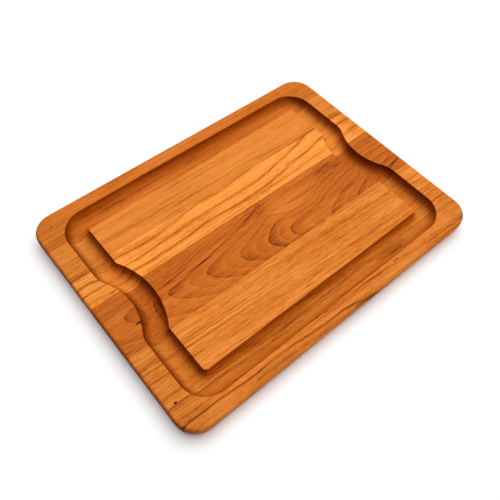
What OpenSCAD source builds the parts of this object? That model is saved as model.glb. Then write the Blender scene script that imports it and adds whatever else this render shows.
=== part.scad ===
// Edge-glued carving board with a coved juice groove that swells inwards at both short ends.
// X runs along the grain, Y across the staves to the far edge, Z up, and the origin is
// under the middle of the board.

/* [Staves] */
// Width of the stave on the far edge
stave_1_wid = 58; // [54:0.5:70]
// Width of the second stave
stave_2_wid = 54.5; // [40:0.5:70]
// Width of the third stave
stave_3_wid = 55; // [40:0.5:70]
// Width of the fourth stave
stave_4_wid = 84; // [60:0.5:100]
// Width of the fifth stave
stave_5_wid = 82.5; // [60:0.5:100]
// Width of the stave on the near edge
stave_6_wid = 44; // [40:0.5:60]

/* [Board] */
// Length along the grain
board_len = 508; // [440:1:600]
// Thickness
board_thk = 25.4; // [24:0.1:38]
// Radius of the four corners seen from above
corner_r = 32; // [20:1:38]
// Radius of the edge round the top face
top_edge_r = 5; // [2:0.5:7]
// Radius of the edge round the underside, where fingers go under the board
under_edge_r = 14; // [6:0.5:16]

/* [Groove] */
// Width of the groove at the top face
groove_wid = 32.6; // [32:0.1:38]
// Depth of the groove
groove_depth = 16; // [10:0.1:16]
// Rim between a short edge and the groove
end_rim = 30.5; // [26:0.5:40]
// Rim between a long edge and the groove
side_rim = 22.4; // [18:0.2:30]
// Radius of the carving surface's corners
plateau_corner_r = 6.4; // [3:0.2:12]
// Radius of the rim's bulge at each short end
bulge_r = 85.5; // [75:0.5:110]
// How far the bulge reaches into the board
bulge_reach = 16.65; // [8:0.05:22]
// Radius of the carving surface's edge where the groove turns off towards the bulge
plateau_turn_r = 2.15; // [1.6:0.05:12]
// Radius of the sanded arris along both sides of the groove
arris_r = 1; // [0.4:0.1:1.5]

/* [Hidden] */
$fn = 128;

// How far a cutter runs past the face that it cuts through
overrun = 2;
// How far above the top face the arris's rounding would run out
arris_runout = 0.06;

stave_wids = [stave_1_wid, stave_2_wid, stave_3_wid, stave_4_wid, stave_5_wid, stave_6_wid];
function wid_before(n) = n == 0 ? 0 : wid_before(n - 1) + stave_wids[n - 1];
board_wid = wid_before(len(stave_wids));

// The groove is cut by a round nose whose radius follows from the groove's width and depth.
half_groove = groove_wid / 2;
nose_r = (half_groove * half_groove + groove_depth * groove_depth) / (2 * groove_depth);
nose_z = board_thk + nose_r - groove_depth;

// The nose's centre travels round a rectangle with rounded corners.
path_x = board_len / 2 - end_rim - half_groove;
path_y = board_wid / 2 - side_rim - half_groove;
path_corner_r = plateau_corner_r + half_groove;
side_run = path_x - path_corner_r;

// At each short end the path turns off the straight and then follows an arc round the bulge.
// These are the distances between the centres of those two arcs.
swell_r = bulge_r + half_groove;
turn_r = plateau_turn_r + half_groove;
centre_gap = swell_r + turn_r;
centre_dx = centre_gap - bulge_reach;
centre_dy = sqrt(centre_gap * centre_gap - centre_dx * centre_dx);
end_run = path_y - path_corner_r - centre_dy;

// The sanded arris touches the nose and runs out just above the top face, so it meets that
// face at a slight angle.
arris_z = board_thk + arris_runout - arris_r;
arris_x = sqrt(pow(nose_r + arris_r, 2) - pow(nose_z - arris_z, 2));
arris_touch = nose_r / (nose_r + arris_r);

// The board's section out to its edge, rounded above and below
module edge_section(reach) {
    difference() {
        square([reach, board_thk]);
        difference() {
            translate([reach - top_edge_r, board_thk - top_edge_r])
                square(top_edge_r + overrun);
            translate([reach - top_edge_r, board_thk - top_edge_r])
                circle(top_edge_r);
        }
        difference() {
            translate([reach - under_edge_r, -overrun])
                square([under_edge_r + overrun, under_edge_r + overrun]);
            translate([reach - under_edge_r, under_edge_r])
                circle(under_edge_r);
        }
    }
}

// The whole board before grooving: a middle block, a strip at each end and four turned corners
module board_blank() {
    for (side = [0, 1])
        mirror([0, side, 0])
            translate([-(board_len / 2 - corner_r), 0, 0])
                rotate([90, 0, 90])
                    linear_extrude(board_len - 2 * corner_r)
                        edge_section(board_wid / 2);
    for (end = [0, 1])
        mirror([end, 0, 0])
            translate([board_len / 2 - corner_r, 0, 0]) {
                translate([0, board_wid / 2 - corner_r, 0])
                    rotate([90, 0, 0])
                        linear_extrude(board_wid - 2 * corner_r)
                            edge_section(corner_r);
                for (side = [0, 1])
                    mirror([0, side, 0])
                        translate([0, board_wid / 2 - corner_r, 0])
                            rotate_extrude(angle = 90)
                                edge_section(corner_r);
            }
}

// The groove's section, measured from the nose's path: the round nose, widened by the arrises
module groove_section() {
    intersection() {
        translate([0, nose_z])
            circle(nose_r);
        translate([-nose_r, 0])
            square([2 * nose_r, board_thk]);
    }
    difference() {
        polygon([
            [-arris_x * arris_touch, nose_z + (arris_z - nose_z) * arris_touch],
            [-arris_x, arris_z],
            [-arris_x, board_thk + overrun],
            [arris_x, board_thk + overrun],
            [arris_x, arris_z],
            [arris_x * arris_touch, nose_z + (arris_z - nose_z) * arris_touch]
        ]);
        for (side = [-1, 1])
            translate([side * arris_x, arris_z])
                circle(arris_r);
    }
}

// A straight cut along +Y from the origin
module straight_cut(run) {
    translate([0, run, 0])
        rotate([90, 0, 0])
            linear_extrude(run)
                groove_section();
}

// A quarter circle of the path about the origin, from +X to +Y
module arc_cut(path_r) {
    rotate_extrude(angle = 90)
        translate([path_r, 0])
            groove_section();
}

// Keeps what stands over an outline drawn from above
module over(outline) {
    intersection() {
        children();
        translate([0, 0, -overrun])
            linear_extrude(board_thk + 3 * overrun)
                polygon(outline);
    }
}

// The groove from the middle of a long side to the middle of the short end at +X. Both arcs of
// the swell stop at the line between their centres, where one runs on smoothly from the other.
module quarter_groove() {
    translate([0, path_y, 0])
        rotate(-90)
            straight_cut(side_run);
    translate([path_x - path_corner_r, path_y - path_corner_r, 0])
        arc_cut(path_corner_r);
    translate([path_x, centre_dy, 0])
        straight_cut(end_run);
    translate([path_x - turn_r, centre_dy, 0]) {
        over([[0, 0], [centre_dx, -centre_dy], [centre_dx, overrun], [0, overrun]])
            mirror([0, 1, 0])
                arc_cut(turn_r);
        translate([centre_dx, -centre_dy, 0])
            over([
                [0, 0],
                [-centre_dx, centre_dy],
                [-centre_gap, centre_dy],
                [-centre_gap, -overrun],
                [0, -overrun]
            ])
                mirror([1, 0, 0])
                    arc_cut(swell_r);
    }
}

module groove() {
    for (end = [0, 1])
        mirror([end, 0, 0])
            for (side = [0, 1])
                mirror([0, side, 0])
                    quarter_groove();
}

// One stave: its strip of the glued and grooved board
module stave(n) {
    difference() {
        intersection() {
            board_blank();
            translate([-board_len / 2, board_wid / 2 - wid_before(n + 1), 0])
                cube([board_len, stave_wids[n], board_thk]);
        }
        groove();
    }
}

module stave_1_far() { color("#c9752f") stave(0); }
module stave_2() { color("#df883b") stave(1); }
module stave_3() { color("#f09c45") stave(2); }
module stave_4() { color("#bf692a") stave(3); }
module stave_5() { color("#db8439") stave(4); }
module stave_6_near() { color("#d17b31") stave(5); }

stave_1_far();
stave_2();
stave_3();
stave_4();
stave_5();
stave_6_near();
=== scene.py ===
import math

import bpy
import numpy as np
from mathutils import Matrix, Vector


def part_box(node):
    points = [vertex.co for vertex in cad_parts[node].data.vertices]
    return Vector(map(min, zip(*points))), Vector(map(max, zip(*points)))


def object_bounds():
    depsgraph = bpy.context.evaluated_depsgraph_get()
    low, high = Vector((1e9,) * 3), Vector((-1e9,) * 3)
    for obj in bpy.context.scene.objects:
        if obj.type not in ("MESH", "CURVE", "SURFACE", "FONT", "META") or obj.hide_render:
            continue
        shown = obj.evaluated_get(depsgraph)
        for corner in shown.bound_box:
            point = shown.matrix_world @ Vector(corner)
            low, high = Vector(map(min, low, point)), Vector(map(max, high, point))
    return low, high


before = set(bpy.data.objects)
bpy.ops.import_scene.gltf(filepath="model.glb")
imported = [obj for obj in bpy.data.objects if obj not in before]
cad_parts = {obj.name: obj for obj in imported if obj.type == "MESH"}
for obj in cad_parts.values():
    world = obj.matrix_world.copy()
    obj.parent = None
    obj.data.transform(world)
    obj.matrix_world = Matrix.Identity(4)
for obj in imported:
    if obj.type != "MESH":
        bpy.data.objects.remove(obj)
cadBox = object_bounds()
print("board loaded:", sorted(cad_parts))


# sRGB hex to the linear colour that the shaders take
def hexColour(text):
    srgb = np.array([int(text[i:i + 2], 16) / 255 for i in (1, 3, 5)])
    linear = np.where(srgb <= 0.04045, srgb / 12.92, ((srgb + 0.055) / 1.055) ** 2.4)
    return (*linear.tolist(), 1.0)


# One node with its settings. An input given as a node is linked from that node's first output,
# one given as a socket is linked from it, and any other is a value.
def addNode(tree, kind, inputs=None, **settings):
    node = tree.nodes.new("ShaderNode" + kind)
    for name, value in settings.items():
        setattr(node, name, value)
    for name, value in (inputs or {}).items():
        if isinstance(value, bpy.types.Node):
            value = value.outputs[0]
        if isinstance(value, bpy.types.NodeSocket):
            tree.links.new(value, node.inputs[name])
        else:
            node.inputs[name].default_value = value
    return node


def emptyMaterial(name):
    material = bpy.data.materials.new(name)
    material.use_nodes = True
    material.node_tree.nodes.clear()
    return material, material.node_tree


# 1 for rays that show the background itself, seen directly, mirrored or through glass
def backgroundRays(tree):
    ray = addNode(tree, "LightPath")
    seen = addNode(tree, "Math", {0: ray.outputs["Is Camera Ray"],
                                  1: ray.outputs["Is Glossy Ray"]}, operation="MAXIMUM")
    return addNode(tree, "Math", {0: seen, 1: ray.outputs["Is Transmission Ray"]},
                   operation="MAXIMUM")


# Camera, fitted to the board's edges in the photo
view = {
    "place": (-0.31268, -0.33449, 0.65195),
    "turnDegrees": (32.886, -1.681, -39.917),
    "lens": 39.42,
    "sensor": 36,
    "nearest": 0.02,
    "farthest": 50,
}
cameraData = bpy.data.cameras.new("boardCamera")
cameraData.lens = view["lens"]
cameraData.sensor_width = view["sensor"]
cameraData.clip_start = view["nearest"]
cameraData.clip_end = view["farthest"]
camera = bpy.data.objects.new("boardCamera", cameraData)
camera.location = view["place"]
camera.rotation_euler = [math.radians(turn) for turn in view["turnDegrees"]]
bpy.context.scene.collection.objects.link(camera)
bpy.context.scene.camera = camera

# Light: one very broad soft lamp, high and a little to the far right, and hardly any fill
light = {
    "azimuth": 25,  # these three in degrees
    "elevation": 73,
    "softness": 75,
    "strength": 3.32,
    "fill": 0.03,
    "place": (1, 1, 1.5),  # out of the board's way; only the lamp's direction counts
}
lampData = bpy.data.lights.new("windowLight", "SUN")
lampData.energy = light["strength"]
lampData.angle = math.radians(light["softness"])
lamp = bpy.data.objects.new("windowLight", lampData)
lamp.rotation_euler = (0, math.radians(90 - light["elevation"]), math.radians(light["azimuth"]))
lamp.location = light["place"]
bpy.context.scene.collection.objects.link(lamp)

world = bpy.data.worlds.new("studio")
bpy.context.scene.world = world
world.use_nodes = True
world.node_tree.nodes.clear()
weakOrWhite = addNode(world.node_tree, "MapRange", {"Value": backgroundRays(world.node_tree),
                                                    "To Min": light["fill"], "To Max": 1.0})
fill = addNode(world.node_tree, "Background", {"Color": hexColour("#ffffff"),
                                               "Strength": weakOrWhite})
addNode(world.node_tree, "OutputWorld", {"Surface": fill})
bpy.context.scene.view_settings.view_transform = "Standard"

# Floor: matt white paper, lifted to white where the camera sees it. half is its half width, in
# metres.
paperLook = {"half": 6.0, "white": "#f4f4f4", "lift": 0.10}
half = paperLook["half"]
floorMesh = bpy.data.meshes.new("paperFloor")
floorMesh.from_pydata([(-half, -half, 0), (half, -half, 0), (half, half, 0), (-half, half, 0)],
                      [], [(0, 1, 2, 3)])
floor = bpy.data.objects.new("paperFloor", floorMesh)
bpy.context.scene.collection.objects.link(floor)
paper, paperTree = emptyMaterial("mattWhitePaper")
matt = addNode(paperTree, "BsdfDiffuse", {"Color": hexColour(paperLook["white"])})
lift = addNode(paperTree, "Emission", {"Color": hexColour("#ffffff"),
                                       "Strength": paperLook["lift"]})
lifted = addNode(paperTree, "AddShader", {0: matt, 1: lift})
both = addNode(paperTree, "MixShader", {0: backgroundRays(paperTree), 1: matt, 2: lifted})
addNode(paperTree, "OutputMaterial", {"Surface": both})
floorMesh.materials.append(paper)
print("camera, light and floor ready")

# The board's length and thickness in millimetres, from the frame
boardLength = round(1000 * (cadBox[1][0] - cadBox[0][0]), 1)
boardThickness = round(1000 * (cadBox[1][2] - cadBox[0][2]), 1)
halfLength = boardLength / 2

# The wood of the six staves. Everything is in millimetres on the board, x along the grain and y
# across it from its middle, and strengths and darknesses count on the scale of the tones.
# tones: colours from the darkest growth line to the lightest wood
# grooveTintAndShade: tint of the cut groove, partly the cut wood's own colour and partly painted
# shade
# seed: which piece of the noise the stave shows
# fibre, streak, broad: strength of the fine fibres, the long streaks and the broad patches
# gap: spacing of the streaks
# drift: how far fibres and streaks climb in y for each millimetre of x
# farGlue, nearGlue: darkness of the glue lines on its two sides
# lines: growth lines given one by one, with the course, the width, the darkness, the shade that
# lies along the far side (plus) or the near side (minus), and the span in x of a short line
# marks: stains, knots and slits, with the middle's x and y, the reach along and across, and the
# darkness, which is below 0 for a lighter place
staves = {
    "stave_1_far": {
        "tones": ("#893e04", "#b65e12", "#c86a1c", "#d07022", "#d77728", "#de8336"),
        "grooveTintAndShade": "#efecd6",
        "seed": 1.7, "fibre": 0.6, "gap": 3.0, "streak": 0.66, "broad": 0.66, "drift": 0.0,
        "farGlue": 0.0, "nearGlue": 0.25,
        "lines": (
            {"course": ((-254, 165), (-215, 166), (-150, 168), (254, 172)), "width": 0.8,
             "dark": 0.2, "shade": 0.0, "span": (-254, -190)},
            {"course": ((-254, 138), (-190, 137), (-120, 139), (60, 137), (254, 140)),
             "width": 1.6, "dark": 0.14, "shade": 0.0},
            {"course": ((-254, 176), (-130, 177), (-85, 179), (254, 180)), "width": 2.4,
             "dark": 0.3, "shade": 0.0, "span": (-145, -75)},
        ),
        "marks": ((-229, 165.6, 2.6, 1.1, 0.6),),
    },
    "stave_2": {
        "tones": ("#a55411", "#cc7021", "#db7d2b", "#e28332", "#e78936", "#ef923e"),
        "grooveTintAndShade": "#f0f4f0",
        "seed": 2.3, "fibre": 0.62, "gap": 2.6, "streak": 0.75, "broad": 0.6, "drift": 0.0,
        "farGlue": 0.1, "nearGlue": 0.4,
        "lines": (
            {"course": ((-254, 83), (-225, 88), (-190, 89), (0, 90), (60, 90), (110, 84),
                        (254, 80)),
             "width": 1.4, "dark": 0.28, "shade": 0.06},
            {"course": ((-254, 78), (-225, 80), (-190, 80), (0, 81), (100, 79), (254, 78)),
             "width": 1.6, "dark": 0.3, "shade": 0.0},
            {"course": ((-254, 100), (-180, 103), (-110, 104), (0, 102), (120, 99), (254, 96)),
             "width": 1.0, "dark": 0.2, "shade": 0.05},
        ),
        "marks": (),
    },
    "stave_3": {
        "tones": ("#b05a10", "#d97a24", "#f19037", "#fe9e44", "#ffa64c", "#ffaf54"),
        "grooveTintAndShade": "#e2d4be",
        "seed": 3.1, "fibre": 0.62, "gap": 3.4, "streak": 0.3, "broad": 0.3, "drift": 0.0,
        "farGlue": 0.35, "nearGlue": 0.1,
        "lines": (
            {"course": ((-254, 71), (-224, 71), (-190, 67.5), (-160, 64.6), (-130, 63.1),
                        (-100, 66.1), (-70, 70.1), (-45, 73), (0, 72), (30, 75), (55, 77.5),
                        (90, 82), (254, 84)),
             "width": 2.6, "dark": 0.5, "shade": 0.28},
            {"course": ((-254, 55), (-235, 55.5), (-224, 52.5), (-190, 48.8), (-150, 48.7),
                        (-120, 50.2), (-90, 51.4), (-45, 52.9), (0, 52.1), (50, 52.2),
                        (70, 54.8), (90, 59.1), (120, 64.3), (150, 71), (170, 77), (254, 84)),
             "width": 2.7, "dark": 0.54, "shade": 0.1},
            {"course": ((-254, 42), (-225, 41.5), (-180, 36.1), (-140, 34.7), (-100, 35.5),
                        (-50, 38.8), (0, 35.5), (40, 36.6), (80, 40.1), (110, 45.1), (140, 48),
                        (180, 55.6), (224, 61.5), (254, 61)),
             "width": 2.6, "dark": 0.52, "shade": 0.1},
            {"course": ((-254, 29), (-190, 26), (-100, 25), (0, 26), (60, 30), (95, 31),
                        (120, 33.5), (175, 35), (224, 38), (254, 42)),
             "width": 2.2, "dark": 0.3, "shade": 0.1},
        ),
        "marks": ((-217, 25.7, 7.5, 0.9, 0.7), (244, 48, 20, 60, 0.16)),
    },
    "stave_4": {
        "tones": ("#7a3805", "#ad5212", "#bf5f18", "#c8681b", "#d27222", "#de7b2b"),
        "grooveTintAndShade": "#eeece0",
        "seed": 4.9, "fibre": 0.64, "gap": 2.8, "streak": 0.4, "broad": 0.5, "drift": 0.0,
        "farGlue": 0.1, "nearGlue": 0.35,
        "lines": (
            {"course": ((-254, -9), (-165, -8), (-140, -5), (-110, -1), (254, 20)), "width": 1.1,
             "dark": 0.5, "shade": 0.1, "span": (-172, -104)},
            {"course": ((-254, -14), (-130, -13), (-110, -10.5), (-90, -9.5), (-75, -6),
                        (-50, -1.5), (-30, 2), (-15, 6), (0, 10), (254, 20)), "width": 1.4,
             "dark": 0.5, "shade": -0.12, "span": (-140, 8)},
            {"course": ((-254, 2.5), (-150, 2), (254, 4)), "width": 1.0, "dark": 0.3,
             "shade": 0.05, "span": (-254, -140)},
            {"course": ((-254, 0), (150, 0), (172, 1), (254, 1)), "width": 1.5, "dark": 0.45,
             "shade": 0.0, "span": (142, 178)},
            {"course": ((-254, 9), (30, 6), (55, 4), (80, 2), (254, 0)), "width": 1.1,
             "dark": 0.25, "shade": 0.0, "span": (16, 96)},
            {"course": ((-254, -2), (20, -3), (40, -6.5), (70, -8), (95, -8), (254, -4)),
             "width": 1.1, "dark": 0.25, "shade": 0.0, "span": (14, 112)},
            {"course": ((-254, 10), (12, -2), (25, -11), (40, -20), (60, -23), (100, -15),
                        (140, -9), (254, -5)), "width": 1.4, "dark": 0.3, "shade": -0.1,
             "span": (4, 116)},
            {"course": ((-254, -48), (222, -44), (235, -38), (254, -30)), "width": 1.2,
             "dark": 0.3, "shade": 0.0, "span": (212, 262)},
            {"course": ((-254, -56), (222, -56), (240, -50), (254, -46)), "width": 1.6,
             "dark": 0.5, "shade": 0.1, "span": (212, 262)},
        ),
        "marks": (
            (-216, -31.5, 5.5, 1.1, 1.3), (-213, -21, 16.5, 14.5, 0.34),
            (-213, -21, 13.5, 11.8, -0.36), (138, 11, 22, 12, 0.15), (14, 12, 20, 9, 0.15),
            (70, -7, 52, 16, -0.26), (-236, -20, 26, 40, -0.16), (40, -14, 34, 7, -0.2),
            (36, 8, 22, 4, -0.15), (48, 4, 30, 1.7, -0.3), (36, -8, 22, 1.8, -0.35),
            (58, 12, 34, 1.4, -0.22), (66, -3, 34, 1.5, -0.25),
        ),
        # Flat-sawn arches, one for each x in tips, where it crosses the middle line. That line
        # goes through middleAt with the given slope, which changes by middleBend on the way.
        # farBend gives, at some places along x, how sharply the far legs bend back, in
        # millimetres of x for each square millimetre across, and nearBend does so for the near
        # legs. plunge is how far the arches move in x for each millimetre down into the wood.
        # Each has a dark edge and reddish wood behind it, and strongest and faintest are marks
        # where they show more and less.
        "arches": {
            "tips": (-470, -410, -350, -290, -226, -163, -106, -54, -9, 28, 95, 140, 173, 210,
                     250),
            "middleAt": (-40, -38.5),
            "middleSlope": -0.155,
            "middleBend": -0.00018,
            "farBend": ((-254, 0.3), (-150, 0.25), (-125, 0.2), (-95, 0.14), (-60, 0.1),
                        (-25, 0.075), (5, 0.05), (22, 0.045), (50, 0.09), (80, 0.098),
                        (110, 0.06), (150, 0.041), (254, 0.03)),
            "nearBend": 0.05,
            "plunge": -11,
            "dark": 0.72,
            "red": 0.38,
            "strongest": (0, -40, 34, 26, 0.5),
            "faintest": (72, 11, 66, 17, 0.6),
        },
    },
    "stave_5": {
        "tones": ("#a65713", "#c7671a", "#d17121", "#db7c2a", "#e48733", "#ee9341"),
        "grooveTintAndShade": "#eaeadc",
        "seed": 5.4, "fibre": 0.88, "gap": 2.2, "streak": 1.0, "broad": 0.45, "drift": -0.045,
        "farGlue": 0.3, "nearGlue": 0.35,
        "lines": (
            {"course": ((-254, -84), (-190, -87), (-110, -90), (0, -98), (100, -99),
                        (254, -100)),
             "width": 1.2, "dark": 0.25, "shade": 0.06},
            {"course": ((-254, -107), (-190, -111), (-130, -119), (0, -122), (254, -118)),
             "width": 1.6, "dark": 0.12, "shade": 0.15},
        ),
        "marks": ((-239.7, -142.2, 2.6, 1.7, 1.9), (-150, -123, 26, 1.4, -0.3)),
    },
    "stave_6_near": {
        "tones": ("#8d4909", "#ba6113", "#d17325", "#da7b2c", "#e38636", "#ef9141"),
        "grooveTintAndShade": "#dedac3",
        "seed": 6.2, "fibre": 0.62, "gap": 2.5, "streak": 0.65, "broad": 0.4, "drift": -0.05,
        "farGlue": 0.35, "nearGlue": 0.0,
        "lines": (
            {"course": ((-254, -170.5), (-220, -170.4), (-200, -171), (-180, -172.4),
                        (-150, -174.4), (-120, -173.9), (-100, -174.4), (-80, -176),
                        (-60, -178.4), (-40, -180), (0, -181), (30, -187), (254, -200)),
             "width": 1.5, "dark": 0.6, "shade": -0.1},
            {"course": ((-254, -163), (-190, -163), (-100, -165), (0, -166), (60, -171),
                        (110, -176), (254, -184)),
             "width": 1.1, "dark": 0.32, "shade": -0.06},
            {"course": ((-254, -150), (-100, -150), (-85, -148), (100, -150), (254, -156)),
             "width": 1.8, "dark": 0.3, "shade": 0.0, "span": (-110, 60)},
            {"course": ((-254, -180), (-150, -182), (-90, -186), (254, -200)), "width": 1.2,
             "dark": 0.3, "shade": 0.0, "span": (-160, -80)},
        ),
        "marks": ((106, -172, 7, 1.0, 0.45), (124, -153, 34, 6.5, 0.42),
                  (245, -165, 32, 40, 0.14), (-248.5, -171.5, 4.5, 1.5, 0.35),
                  (-238, -165, 24, 30, 0.1)),
    },
}

# What all six share. Sizes are those of the noise's cells in millimetres, along the grain,
# across it and in depth. The real fibres are finer, and they are drawn 1.4 mm apart because the
# picture shows nothing finer.
cherry = {
    "slowSway": {"size": (75, 30, 30), "reach": 2.2},
    "quickSway": {"size": (14, 7, 7), "reach": 1.5},
    "streakSize": (200, 1, 1 / 0.35),  # the last two in the stave's gap
    "fibreSize": (13, 1.4, 1.4),
    "fleckSize": (6, 1.5, 1.5),
    "patchSize": (120, 16, 22),
    "fadingSize": (55, 9, 9),
    "fading": (0.75, 1.15),  # least and most of a growth line's darkness along its length
    "breaking": (0.65, 1.25),  # and from fibre to fibre
    "fleck": 0.3,  # strength of the short dark flecks
    "fleckNoise": (0.56, 0.78),  # noise at which they begin and are full
    "toneStops": (0.0, 0.24, 0.42, 0.58, 0.76, 1.0),
    "tone": 0.61,  # a little above the middle tone, because flecks take some off
    "archedTone": 0.68,  # and the arches take off more
    "knotTint": "#a0503c",
    "knotTones": (-0.05, -0.5),  # tones, below any growth line's, where it begins and is full
    "endTint": "#ae8a70",  # end grain
    "turned": 0.3,  # how far a face is turned from level where end grain or a steep wall begins
    "leftEndShade": "#f0f0f0",  # painted shade on the board's left end, away from the light
    "leftShadeFrom": -180,  # x where that painted shade begins
    "leftShadeFull": -235,  # and where it is full
    "glueHalf": 0.3,  # half width of a glue line
    "glueEdge": 0.9,  # distance at which its darkness is gone
    "sheen": 0.05,
    "roughness": 0.5,
    "ior": 1.47,
    "relief": 0.0002,  # height of the raised fibres in metres
    "reliefShown": 0.4,  # and how much of it shows
}

# The cut groove, its places and depths in millimetres
groove = {
    "withinX": 226,  # these two keep its tint and painted shade off the board's rounded outer edge
    "withinY": 169,
    "endsFrom": (188, 196),  # x where its end stretches begin and are full
    "endsTo": (224.5, 226.5),  # x where they stop being full and end
    "topDepth": 0.4,  # depth below the top face where it begins
    "faintDepth": 3.4,  # depth where the figure across its ends is faintest
    "tintAndShadeDepth": 4.4,  # depth where its tint and painted shade are full
    "figure": 0.75,  # what is left of the figure there
    "wallTintAndShade": "#f4dca8",  # tint of the steep walls of its long sides, partly painted shade
    "toolMarks": 3.4,  # spacing of the cutter's marks
    "toolDepth": 0.22,  # their height beside that of the fibres
}

# How far from the board's middle the course of a growth line may lie, and how far its shade may
# reach to each side
courseReach = 200
shadeReach = 12
# A short growth line fades in and out over this length
fadeLength = 20


# A smooth curve through the given places, both axes from 0 to 1
def smoothCurve(tree, value, places):
    node = addNode(tree, "FloatCurve", {"Value": value})
    curve = node.mapping.curves[0]
    curve.points[0].location = places[0]
    curve.points[1].location = places[-1]
    for place in places[1:-1]:
        curve.points.new(*place)
    node.mapping.update()
    return node


# A colour ramp; an amount instead of a colour is that much grey
def ramp(tree, value, stops):
    node = addNode(tree, "ValToRGB", {"Fac": value})
    elements = node.color_ramp.elements
    elements[0].position, elements[1].position = stops[0][0], stops[-1][0]
    for stop in stops[1:-1]:
        elements.new(stop[0])
    for element, (_, colour) in zip(elements, stops):
        element.color = colour if isinstance(colour, tuple) else (colour, colour, colour, 1)
    return node


# Noise whose cells have the given size in millimetres
def noise(tree, vector, size, seed, detail):
    place = addNode(tree, "Mapping", {"Vector": vector, "Scale": [1 / s for s in size]})
    return addNode(tree, "TexNoise", {"Vector": place, "W": seed, "Scale": 1.0,
                                      "Detail": detail, "Roughness": 0.6},
                   noise_dimensions="4D")


# Where a point of the board is, in millimetres: x along the grain, y across it, z up and depth
# down from the top face, and along, which goes from 0 at the left end to 1 at the right one.
# facing is its normal.
def placeOnBoard(tree):
    coords = addNode(tree, "TexCoord")
    mm = addNode(tree, "VectorMath", {0: coords.outputs["Object"], "Scale": 1000.0},
                 operation="SCALE")
    x, y, z = addNode(tree, "SeparateXYZ", {0: mm}).outputs
    return {
        "mm": mm, "x": x, "y": y, "z": z,
        "depth": addNode(tree, "Math", {0: boardThickness, 1: z}, operation="SUBTRACT"),
        "along": addNode(tree, "Math", {0: x, 1: 1 / boardLength, 2: 0.5},
                         operation="MULTIPLY_ADD"),
        "facing": addNode(tree, "SeparateXYZ", {0: coords.outputs["Normal"]}).outputs,
    }


# The fibres sway by about a millimetre, slowly and with a small quick wobble. Long streaks, fine
# fibres, short flecks and broad lighter and darker patches all follow them.
def grainOfStave(tree, at, look):
    seed = look["seed"]
    y = at["y"]
    for step, sway in ((0, cherry["slowSway"]), (3, cherry["quickSway"])):
        wave = noise(tree, at["mm"], sway["size"], seed + step, 1.0)
        wave = addNode(tree, "Math", {0: wave, 1: sway["reach"], 2: -sway["reach"] / 2},
                       operation="MULTIPLY_ADD")
        y = addNode(tree, "Math", {0: wave, 1: y}, operation="ADD")
    level = addNode(tree, "Math", {0: at["x"], 1: -look["drift"], 2: y},
                    operation="MULTIPLY_ADD")
    place = addNode(tree, "CombineXYZ", {0: at["x"], 1: level, 2: at["z"]})
    length, width, thickness = cherry["streakSize"]
    streakSize = (length, width * look["gap"], thickness * look["gap"])
    return {
        "y": y,
        "streak": noise(tree, place, streakSize, seed, 1.5),
        "fibre": noise(tree, place, cherry["fibreSize"], seed + 9, 3.0),
        "fleck": noise(tree, place, cherry["fleckSize"], seed + 13, 1.0),
        "broad": noise(tree, place, cherry["patchSize"], seed + 5, 2.0),
    }


# 1 where the figure is whole, and less where the groove's ends cut across the fibres and on the
# long edges' rounding beside those ends
def figureLeft(tree, at):
    outwards = addNode(tree, "Math", {0: at["x"]}, operation="ABSOLUTE")
    begun = addNode(tree, "MapRange", {"Value": outwards, "From Min": groove["endsFrom"][0],
                                       "From Max": groove["endsFrom"][1]})
    notPast = addNode(tree, "MapRange", {"Value": outwards, "From Min": groove["endsTo"][1],
                                         "From Max": groove["endsTo"][0]})
    deep = addNode(tree, "MapRange", {"Value": at["depth"], "From Min": groove["topDepth"],
                                      "From Max": groove["faintDepth"]})
    ofEnds = addNode(tree, "Math", {0: begun, 1: notPast}, operation="MULTIPLY")
    cut = addNode(tree, "Math", {0: deep, 1: ofEnds}, operation="MULTIPLY")
    return addNode(tree, "MapRange", {"Value": cut, "To Min": 1.0, "To Max": groove["figure"]})


# A growth line: a smooth curve gives its y at each x, and a ramp across it, whose
# stops count in half widths, gives a sharp dark middle, soft edges and the shade on one side
def growthLine(tree, at, grainY, line):
    width, dark, shade = line["width"], line["dark"], line["shade"]
    places = [((x + halfLength) / boardLength, (y + courseReach) / (2 * courseReach))
              for x, y in line["course"]]
    course = smoothCurve(tree, at["along"], places)
    lineY = addNode(tree, "Math", {0: course, 1: 2 * courseReach, 2: -courseReach},
                    operation="MULTIPLY_ADD")
    off = addNode(tree, "Math", {0: grainY, 1: lineY}, operation="SUBTRACT")
    across = addNode(tree, "Math", {0: off, 1: 1 / (2 * shadeReach), 2: 0.5},
                     operation="MULTIPLY_ADD")
    halfWidth = width / 2 / (2 * shadeReach)
    near, far = (-shade, 0.0) if shade < 0 else (0.0, shade)
    soft = dark * 0.3
    amount = ramp(tree, across, (
        (0.04, 0.0), (0.5 - halfWidth * 5, near), (0.5 - halfWidth * 2, max(near, soft)),
        (0.5 - halfWidth * 0.4, dark), (0.5 + halfWidth * 0.4, dark),
        (0.5 + halfWidth * 2, max(far, soft)), (0.5 + halfWidth * 5, far), (0.96, 0.0)))
    if "span" in line:
        for end, inwards in zip(line["span"], (fadeLength, -fadeLength)):
            fade = addNode(tree, "MapRange", {"Value": at["x"], "From Min": end,
                                              "From Max": end + inwards},
                           interpolation_type="SMOOTHSTEP")
            amount = addNode(tree, "Math", {0: amount, 1: fade}, operation="MULTIPLY")
    return amount


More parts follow.
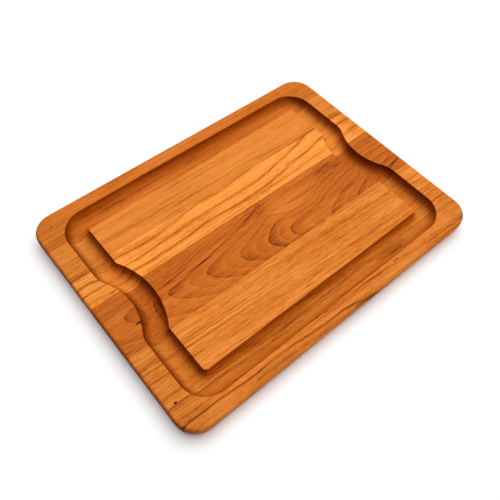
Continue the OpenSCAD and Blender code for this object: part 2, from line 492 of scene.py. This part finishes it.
# A knot, speck or stain: darkness that falls off from the middle of an ellipse on the top face,
# between two squares of the distance, where 1 is the ellipse's own outline
def mark(tree, x, y, spot):
    middleX, middleY, reachX, reachY, amount = spot
    whole, gone = 0.15, 1.3
    dx = addNode(tree, "Math", {0: x, 1: 1 / reachX, 2: -middleX / reachX},
                 operation="MULTIPLY_ADD")
    dy = addNode(tree, "Math", {0: y, 1: 1 / reachY, 2: -middleY / reachY},
                 operation="MULTIPLY_ADD")
    square = addNode(tree, "Math", {0: dx, 1: dx}, operation="MULTIPLY")
    square = addNode(tree, "Math", {0: dy, 1: dy, 2: square}, operation="MULTIPLY_ADD")
    return addNode(tree, "MapRange", {"Value": square, "From Min": whole, "From Max": gone,
                                      "To Min": amount, "To Max": 0.0},
                   interpolation_type="SMOOTHSTEP")


# Flat-sawn arches. The rings are parabolas whose tips point to -x along a slightly bent middle
# line. A curve turns the tip's x into a ring number, whose fraction is 0 on the dark line.
def archedRings(tree, at, grainY, arches):
    startX, startY = arches["middleAt"]
    u = addNode(tree, "Math", {0: at["x"], 1: startX}, operation="SUBTRACT")
    slope = addNode(tree, "Math", {0: u, 1: arches["middleBend"], 2: arches["middleSlope"]},
                    operation="MULTIPLY_ADD")
    middle = addNode(tree, "Math", {0: u, 1: slope, 2: startY}, operation="MULTIPLY_ADD")
    v = addNode(tree, "Math", {0: grainY, 1: middle}, operation="SUBTRACT")
    farBend = smoothCurve(tree, at["along"], [((x + halfLength) / boardLength, bend)
                                              for x, bend in arches["farBend"]])
    isFar = addNode(tree, "Math", {0: v, 1: 0.0}, operation="GREATER_THAN")
    bend = addNode(tree, "Mix", {0: isFar, 2: arches["nearBend"], 3: farBend})
    v2 = addNode(tree, "Math", {0: v, 1: v}, operation="MULTIPLY")
    back = addNode(tree, "Math", {0: v2, 1: bend}, operation="MULTIPLY")
    tip = addNode(tree, "Math", {0: at["x"], 1: back}, operation="SUBTRACT")
    tip = addNode(tree, "Math", {0: at["depth"], 1: arches["plunge"], 2: tip},
                  operation="MULTIPLY_ADD")

    first, last = arches["tips"][0], arches["tips"][-1]
    count = len(arches["tips"]) - 1
    place = addNode(tree, "Math", {0: tip, 1: 1 / (last - first), 2: -first / (last - first)},
                    operation="MULTIPLY_ADD")
    within = addNode(tree, "Clamp", {"Value": place})
    beyond = addNode(tree, "Math", {0: place, 1: within}, operation="SUBTRACT")
    number = smoothCurve(tree, within, [((x - first) / (last - first), i / count)
                                        for i, x in enumerate(arches["tips"])])
    number = addNode(tree, "Math", {0: number, 1: beyond}, operation="ADD")
    number = addNode(tree, "Math", {0: number, 1: count}, operation="MULTIPLY")
    phase = addNode(tree, "Math", {0: number}, operation="FRACT")

    # Behind each dark line the red fades out, and halfway a second, paler band does the same
    dark, red = arches["dark"], arches["red"]
    bands = ramp(tree, phase, (
        (0.0, dark), (0.04, red), (0.2, red * 0.85), (0.42, red * 0.25), (0.48, 0.0),
        (0.52, red * 0.6), (0.7, red * 0.35), (0.9, red * 0.1), (0.95, 0.0), (1.0, dark * 0.7)))
    strong = mark(tree, at["x"], grainY, arches["strongest"])
    faint = mark(tree, at["x"], grainY, arches["faintest"])
    extra = addNode(tree, "Math", {0: strong, 1: faint}, operation="SUBTRACT")
    return addNode(tree, "Math", {0: bands, 1: extra, 2: bands}, operation="MULTIPLY_ADD")


# y and darkness of the glue lines that end a stave on its far and near side
def glueLines(name, look):
    low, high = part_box(name)
    sides = ((high, look["farGlue"]), (low, look["nearGlue"]))
    return [(round(1000 * corner[1], 2), dark) for corner, dark in sides if dark > 0]


# The wood's own colour. Its tone runs from 0 on a dark growth line to 1 in the lightest wood.
def woodColour(tree, at, grain, glue, look):
    left = figureLeft(tree, at)
    tone = cherry["archedTone"] if "arches" in look else cherry["tone"]
    for kind in ("streak", "fibre", "broad"):
        part = addNode(tree, "Math", {0: grain[kind], 1: look[kind] * 2, 2: -look[kind]},
                       operation="MULTIPLY_ADD")
        tone = addNode(tree, "Math", {0: part, 1: left, 2: tone}, operation="MULTIPLY_ADD")

    # Growth lines are broken up by the fibres and come and go along their length, and the cut
    # across the groove's ends takes twice from them what it takes from the rest
    lines = [growthLine(tree, at, grain["y"], line) for line in look["lines"]]
    if "arches" in look:
        lines.append(archedRings(tree, at, grain["y"], look["arches"]))
    fading = noise(tree, at["mm"], cherry["fadingSize"], look["seed"] + 17, 1.0)
    fading = addNode(tree, "MapRange", {"Value": fading, "From Min": 0.32, "From Max": 0.68,
                                        "To Min": cherry["fading"][0],
                                        "To Max": cherry["fading"][1]})
    broken = addNode(tree, "MapRange", {"Value": grain["fibre"], "From Min": 0.3,
                                        "From Max": 0.7, "To Min": cherry["breaking"][0],
                                        "To Max": cherry["breaking"][1]})
    for factor in (fading, left, left):
        broken = addNode(tree, "Math", {0: broken, 1: factor}, operation="MULTIPLY")
    darks = [addNode(tree, "Math", {0: line, 1: broken}, operation="MULTIPLY")
             for line in lines]

    darks += [mark(tree, at["x"], at["y"], spot) for spot in look["marks"]]
    darks.append(addNode(tree, "MapRange", {"Value": grain["fleck"],
                                            "From Min": cherry["fleckNoise"][0],
                                            "From Max": cherry["fleckNoise"][1],
                                            "To Max": cherry["fleck"]}))
    for glueY, glueDark in glue:
        away = addNode(tree, "Math", {0: at["y"], 1: glueY}, operation="SUBTRACT")
        away = addNode(tree, "Math", {0: away}, operation="ABSOLUTE")
        darks.append(addNode(tree, "MapRange", {"Value": away, "From Min": cherry["glueHalf"],
                                                "From Max": cherry["glueEdge"],
                                                "To Min": glueDark, "To Max": 0.0}))
    for dark in darks:
        tone = addNode(tree, "Math", {0: tone, 1: dark}, operation="SUBTRACT")
    colour = ramp(tree, tone, [(stop, hexColour(text))
                               for stop, text in zip(cherry["toneStops"], look["tones"])])

    # What is darker than the darkest growth line is a knot or a slit
    knots = addNode(tree, "MapRange", {"Value": tone, "From Min": cherry["knotTones"][0],
                                       "From Max": cherry["knotTones"][1]})
    return addNode(tree, "Mix", {0: knots, 6: colour, 7: hexColour(cherry["knotTint"])},
                   data_type="RGBA", blend_type="MULTIPLY").outputs[2]


# 1 in the groove, from just below the top face down, and 0 on the board's rounded outer edge
def insideGroove(tree, at):
    inside = addNode(tree, "MapRange", {"Value": at["depth"], "From Min": groove["topDepth"],
                                        "From Max": groove["tintAndShadeDepth"]})
    for axis, limit in ((at["x"], groove["withinX"]), (at["y"], groove["withinY"])):
        off = addNode(tree, "Math", {0: axis}, operation="ABSOLUTE")
        within = addNode(tree, "Math", {0: off, 1: limit}, operation="LESS_THAN")
        inside = addNode(tree, "Math", {0: inside, 1: within}, operation="MULTIPLY")
    return inside


# End grain drinks more oil and looks darker, the squarer it is cut the more so. The groove has a
# tint of its own, its long walls a yellower one, both partly painted shade, and the board's left
# end is painted a little darker, as painted shade away from the light.
def tintAndShadeColour(tree, at, inGroove, colour, look):
    turnedX, turnedY = [addNode(tree, "Math", {0: at["facing"][axis]}, operation="ABSOLUTE")
                        for axis in (0, 1)]
    ends = addNode(tree, "MapRange", {"Value": turnedX, "From Min": cherry["turned"],
                                      "From Max": 1.0}, interpolation_type="SMOOTHSTEP")
    steep = addNode(tree, "MapRange", {"Value": turnedY, "From Min": cherry["turned"],
                                       "From Max": 1.0})
    # Steep long walls in the groove, darkened partly as painted shade
    sides = addNode(tree, "Math", {0: steep, 1: inGroove}, operation="MULTIPLY")
    # Painted shade: the left end, away from the light, is darker
    leftShadeAmount = addNode(tree, "MapRange", {"Value": at["x"], "From Min": cherry["leftShadeFrom"],
                                         "From Max": cherry["leftShadeFull"]},
                      interpolation_type="SMOOTHSTEP")
    # The groove's tint and its walls' tint are partly painted shade, and the left end's is
    # painted shade
    for amount, tint in ((ends, cherry["endTint"]), (inGroove, look["grooveTintAndShade"]),
                         (sides, groove["wallTintAndShade"]), (leftShadeAmount, cherry["leftEndShade"])):
        colour = addNode(tree, "Mix", {0: amount, 6: colour, 7: hexColour(tint)},
                         data_type="RGBA", blend_type="MULTIPLY").outputs[2]
    return colour


# Raised fibres and pores, and in the groove the cutter's fine marks, which run along its long
# sides and across its ends
def woodRelief(tree, at, inGroove, grain):
    ripple = addNode(tree, "Math", {0: at["y"], 1: 2 * math.pi / groove["toolMarks"]},
                     operation="MULTIPLY")
    ripple = addNode(tree, "Math", {0: ripple}, operation="SINE")
    ripple = addNode(tree, "Math", {0: ripple, 1: inGroove}, operation="MULTIPLY")
    height = addNode(tree, "Math", {0: ripple, 1: groove["toolDepth"], 2: grain["fibre"]},
                     operation="MULTIPLY_ADD")
    return addNode(tree, "Bump", {"Height": height, "Strength": cherry["reliefShown"],
                                  "Distance": cherry["relief"]})


# Oiled cherry, planed and sanded: growth lines, straight streaks, fine fibres and darker end
# grain, all running through the solid wood, under a soft satin sheen
def oiledCherry(name, look):
    material, tree = emptyMaterial("oiledCherry_" + name)
    at = placeOnBoard(tree)
    grain = grainOfStave(tree, at, look)
    inGroove = insideGroove(tree, at)
    colour = woodColour(tree, at, grain, glueLines(name, look), look)
    colour = tintAndShadeColour(tree, at, inGroove, colour, look)
    relief = woodRelief(tree, at, inGroove, grain)
    wood = addNode(tree, "BsdfPrincipled", {"Base Color": colour, "IOR": cherry["ior"],
                                            "Roughness": cherry["roughness"],
                                            "Specular IOR Level": cherry["sheen"],
                                            "Normal": relief})
    addNode(tree, "OutputMaterial", {"Surface": wood})
    return material


for name, look in staves.items():
    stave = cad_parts[name]
    stave.data.materials.clear()
    stave.data.materials.append(oiledCherry(name, look))
print("staves finished")
